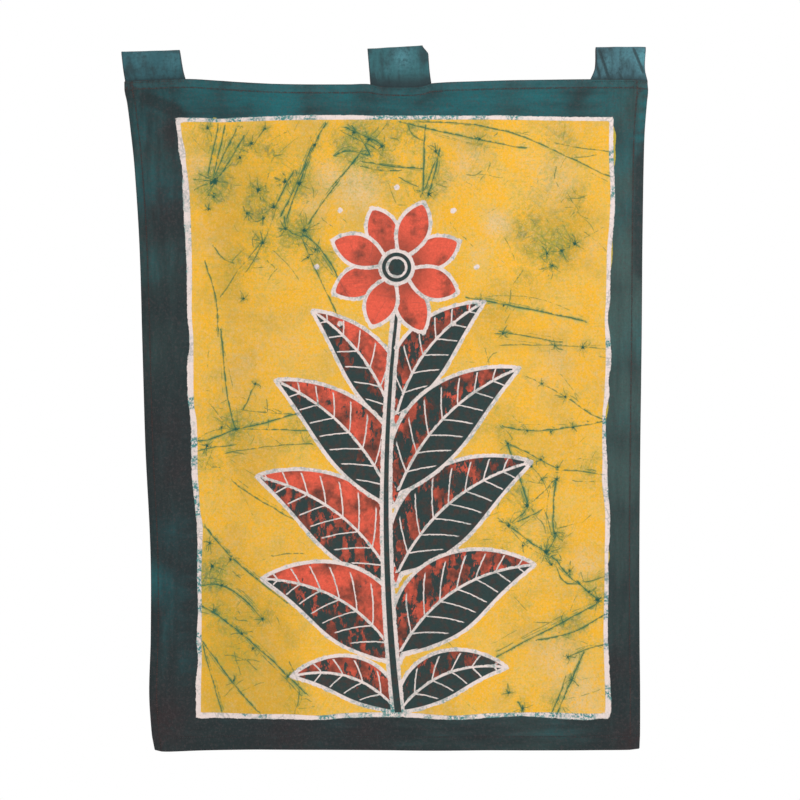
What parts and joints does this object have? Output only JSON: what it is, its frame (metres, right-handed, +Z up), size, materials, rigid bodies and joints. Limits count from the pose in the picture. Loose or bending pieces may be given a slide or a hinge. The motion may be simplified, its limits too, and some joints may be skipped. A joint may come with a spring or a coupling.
{
  "type": "batik wall hanging",
  "caption": "Upright cotton wall hanging with turned hems, a wax-resist framed yellow field and sewn hanging loops along its top edge.",
  "frame": {"origin": "on the line of the hanging rod that the empty loops wait for, midway across the cloth and midway through the loops", "axes": "+Z up, the front of the cloth faces -Y, +X to the right of someone who faces it"},
  "size_m": [0.6055, 0.0142, 0.8106],
  "materials": {
    "dyed_cloth": "plain-weave cotton, wax-resist dyed, matt",
    "tab_cloth": "plain-weave cotton dyed dark teal, matt"
  },
  "bodies": {
    "root": {"batik_cloth": "dyed_cloth", "tab_left": "tab_cloth", "tab_middle": "tab_cloth", "tab_right": "tab_cloth"}
  },
  "joints": []
}
